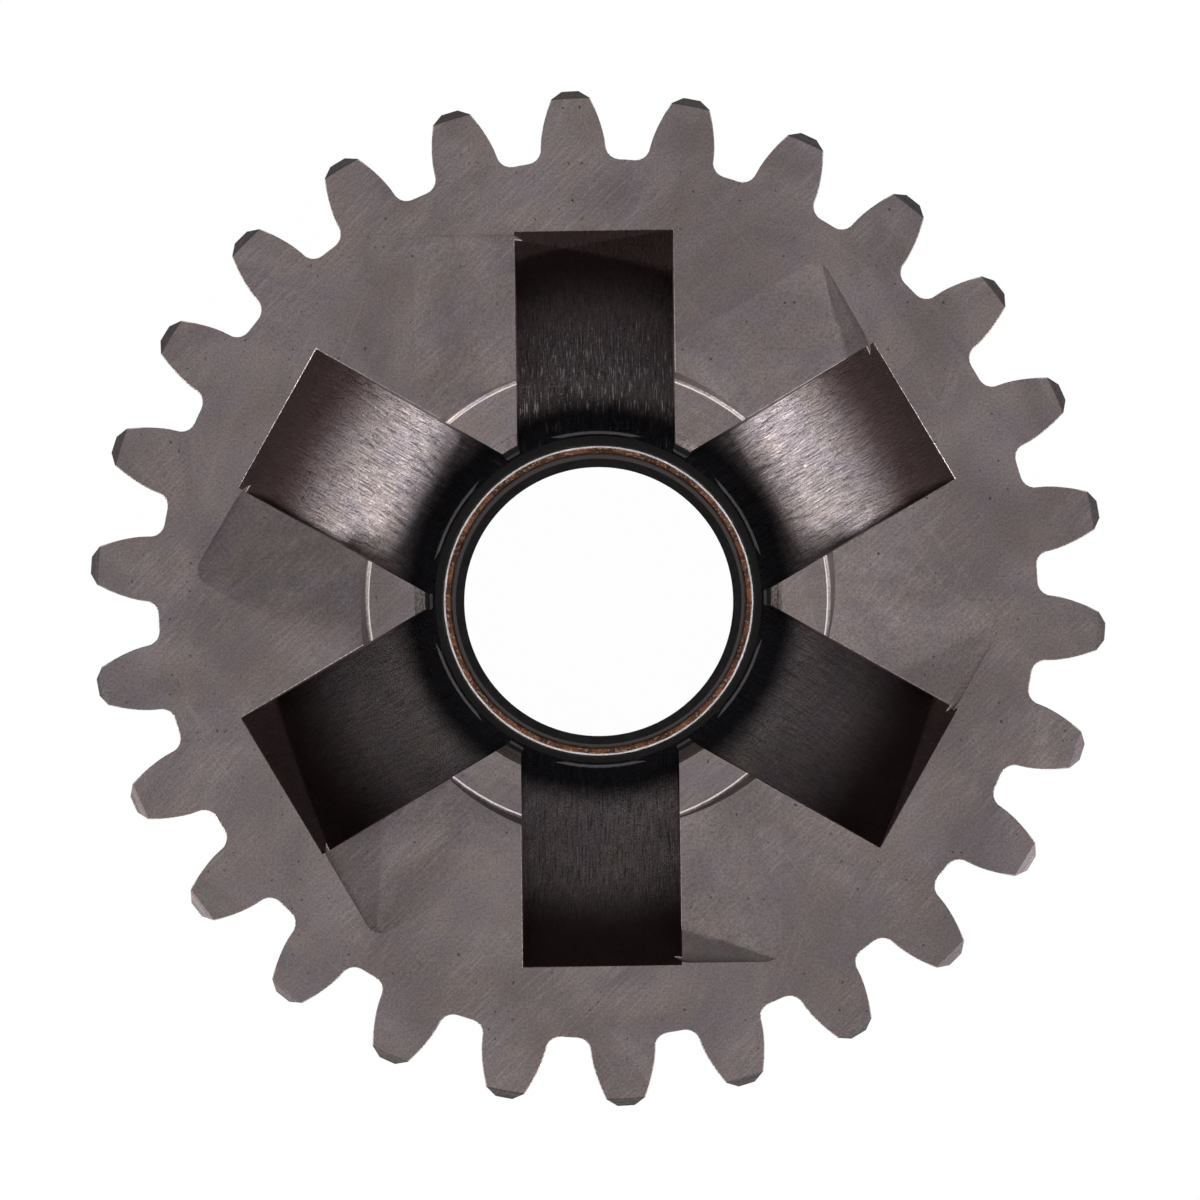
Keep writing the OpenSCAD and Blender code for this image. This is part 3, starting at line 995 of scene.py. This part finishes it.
def make_rubber():
    material, tree, shader = new_material("seal_rubber")
    mottle = place_group(tree, MOTTLE, Patch_Size=1.5, Grain_Size=0.15)
    tone = blend_colours(tree, mottle.outputs["Warm"], RUBBER_DARK, RUBBER_LIGHT)
    link(tree, tone, shader.inputs["Base Color"])
    haze = maths(tree, "MULTIPLY_ADD", mottle.outputs["Grain"], RING_HAZE, RUBBER_ROUGH)
    link(tree, haze, shader.inputs["Roughness"])
    raise_surface(tree, mottle.outputs["Grain"], RING_RELIEF, shader)
    shader.inputs["Metallic"].default_value = 0.0
    shader.inputs["Specular IOR Level"].default_value = RUBBER_SHEEN
    return material


for node, material, slot in (("sleeve_bush", make_bronze(), "bush_bronze"),
                             ("oil_seal", make_rubber(), "seal_rubber")):
    ring = merged_copy(node)
    map_all(ring, "bore")
    soften(ring)
    piece = finish_piece(ring, node.split("_")[1] + "_ring", [material], node)

# %% [markdown]
# The nut thread is a fine V ridge, wound nearly ten times round the sleeve's end. Its section is
# four points in the plane through the axis, and spin with a rise turns that section into the
# helix. The crest sinks into the core over the first and last half turn, as a thread runs in and
# out.

# %% Nut thread
THREAD_PITCH = 1.27
THREAD_LOW = 1.3
THREAD_TURNS = 9.6
STEPS_A_TURN = 48
THREAD_SUNK = 0.04
THREAD_SLOPE = math.radians(30)
CREST_HALF = 0.09
RUN_IN = 0.5


def make_thread():
    mesh = bmesh.new()
    flank = (THREAD_R - CORE_R + THREAD_SUNK) * math.tan(THREAD_SLOPE)
    inner = CORE_R - THREAD_SUNK
    section = ((inner, -CREST_HALF - flank), (THREAD_R, -CREST_HALF), (THREAD_R, CREST_HALF),
               (inner, CREST_HALF + flank))
    corners = [mesh.verts.new(Vector((r, 0, THREAD_LOW + z)) * MM) for r, z in section]
    start = mesh.faces.new(corners)
    steps = round(THREAD_TURNS * STEPS_A_TURN)
    rise = Vector((0, 0, THREAD_PITCH / STEPS_A_TURN)) * MM
    bmesh.ops.spin(mesh, geom=[start, *start.edges, *corners], cent=(0, 0, 0), axis=(0, 0, 1),
                   dvec=rise, angle=2 * math.pi * THREAD_TURNS, steps=steps, use_merge=False)
    for vert in mesh.verts:
        radius = math.hypot(vert.co.x, vert.co.y) / MM
        if radius < CORE_R:
            continue
        turns = (vert.co.z / MM - THREAD_LOW) / THREAD_PITCH
        shown = max(0.0, min(1.0, turns / RUN_IN, (THREAD_TURNS - turns) / RUN_IN))
        kept = (inner + (radius - inner) * shown) / radius
        vert.co.x *= kept
        vert.co.y *= kept
    bmesh.ops.recalc_face_normals(mesh, faces=mesh.faces)
    map_all(mesh, "turned")
    print("thread:", len(mesh.faces), "faces, closed:", is_closed(mesh))
    soften(mesh)
    return finish_piece(mesh, "nut_thread", [STEELS["spline"]], None)


thread = make_thread()

# %% [markdown]
# The gear stands on a white floor. The floor is shown white to the camera and to reflections,
# with a little left over so that it keeps the gear's shadow. Under the sleeve no light gets in,
# so reflections don't see it white there.

# %% Floor
FLOOR_WHITE = (0.9, 0.9, 0.9, 1)
FLOOR_ROUGH = 0.9
FLOOR_HALF = 1.5
SHOWN_WHITE = 0.985
FOOT_R = 19.0
UNDER_FOOT = 0.06


def make_floor():
    mesh = bmesh.new()
    bmesh.ops.create_grid(mesh, x_segments=1, y_segments=1, size=FLOOR_HALF)
    data = bpy.data.meshes.new("floor")
    mesh.to_mesh(data)
    mesh.free()
    floor = put_in_scene("floor", data)
    material, tree, shader = new_material("white_floor")
    shader.inputs["Base Color"].default_value = FLOOR_WHITE
    shader.inputs["Roughness"].default_value = FLOOR_ROUGH
    glow = add_node(tree, "ShaderNodeEmission", Strength=1.0)
    path = add_node(tree, "ShaderNodeLightPath").outputs
    radius = add_node(tree, "ShaderNodeVectorMath", operation="LENGTH")
    link(tree, part_place(tree), radius.inputs[0])
    outside = maths(tree, "GREATER_THAN", radius.outputs["Value"], FOOT_R * MM)
    glossy = maths(tree, "MAXIMUM", path["Is Glossy Ray"], path["Is Transmission Ray"])
    seen = maths(tree, "MAXIMUM", path["Is Camera Ray"], glossy)
    share = maths(tree, "MULTIPLY", seen, SHOWN_WHITE)
    dim = maths(tree, "MAXIMUM", outside, UNDER_FOOT)
    link(tree, maths(tree, "MAXIMUM", path["Is Camera Ray"], dim), glow.inputs["Strength"])
    mix = add_node(tree, "ShaderNodeMixShader")
    link(tree, share, mix.inputs[0])
    link(tree, shader.outputs[0], mix.inputs[1])
    link(tree, glow.outputs[0], mix.inputs[2])
    link(tree, mix.outputs[0], tree.nodes["Material Output"].inputs["Surface"])
    data.materials.append(material)
    print(floor.name, "is", 2 * FLOOR_HALF, "m wide")


make_floor()

# %% [markdown]
# The light is plain and soft. A wide round panel hangs over the gear and gives the matt face its
# tone. Two narrow panels stand low at the near corners. Their light skims the outer rim of a near
# slot and crosses the bore, so it reaches only the two far slots, beyond a clean shadow line. A
# faint low panel at the front picks out the bevels that face it, and a soft one behind reaches
# into the near slots.
#
# Each panel is one row: its name, the direction and the height that it stands at, how many
# degrees of the view from the gear it fills each way, how bright it is, and its shape. All stand
# one metre off and look at a point just below the face. The world adds a faint glow, and the
# camera sees it white.

# %% Lamps and world
AIM = Vector((0, 0, 70 * MM))
PANEL_AWAY = 1.0
WORLD_GLOW = 0.02
PANELS = (
    ("overhead_panel", 270, 90, 60, 60, 2.3, "DISK"),
    ("left_panel", 213.3, 19.9, 3.4, 3.4, 925.0, "RECTANGLE"),
    ("right_panel", 328.1, 19.9, 3.4, 3.4, 925.0, "RECTANGLE"),
    ("front_panel", 270, 8, 70, 10, 0.48, "RECTANGLE"),
    ("back_panel", 90, 20, 28, 12, 2.0, "RECTANGLE"),
)


def add_panel(name, azimuth, elevation, wide, high, radiance, shape):
    data = bpy.data.lights.new(name, "AREA")
    data.shape = shape
    data.size = 2 * PANEL_AWAY * math.tan(math.radians(wide / 2))
    data.size_y = 2 * PANEL_AWAY * math.tan(math.radians(high / 2))
    area = data.size * data.size_y * (math.pi / 4 if shape == "DISK" else 1)
    data.energy = radiance * math.pi * area
    lamp = put_in_scene(name, data)
    a = math.radians(azimuth)
    e = math.radians(elevation)
    back = Vector((math.cos(a) * math.cos(e), math.sin(a) * math.cos(e), math.sin(e)))
    turn = back.to_track_quat("Z", "Y").to_matrix().to_4x4()
    lamp.matrix_world = Matrix.Translation(AIM + back * PANEL_AWAY) @ turn
    lamp.visible_camera = False
    print(name, "gives", round(radiance * area / PANEL_AWAY ** 2 * math.sin(e), 2), "on the face")


def make_world(level):
    world = bpy.data.worlds.new("world")
    bpy.context.scene.world = world
    world.use_nodes = True
    tree = world.node_tree
    base = tree.nodes["Background"]
    base.inputs["Color"].default_value = (1, 1, 1, 1)
    base.inputs["Strength"].default_value = level
    white = add_node(tree, "ShaderNodeBackground", Strength=1.0)
    white.inputs["Color"].default_value = (1, 1, 1, 1)
    path = add_node(tree, "ShaderNodeLightPath")
    mix = add_node(tree, "ShaderNodeMixShader")
    link(tree, path.outputs["Is Camera Ray"], mix.inputs[0])
    link(tree, base.outputs[0], mix.inputs[1])
    link(tree, white.outputs[0], mix.inputs[2])
    link(tree, mix.outputs[0], tree.nodes["World Output"].inputs["Surface"])


for panel in PANELS:
    add_panel(*panel)
make_world(WORLD_GLOW)
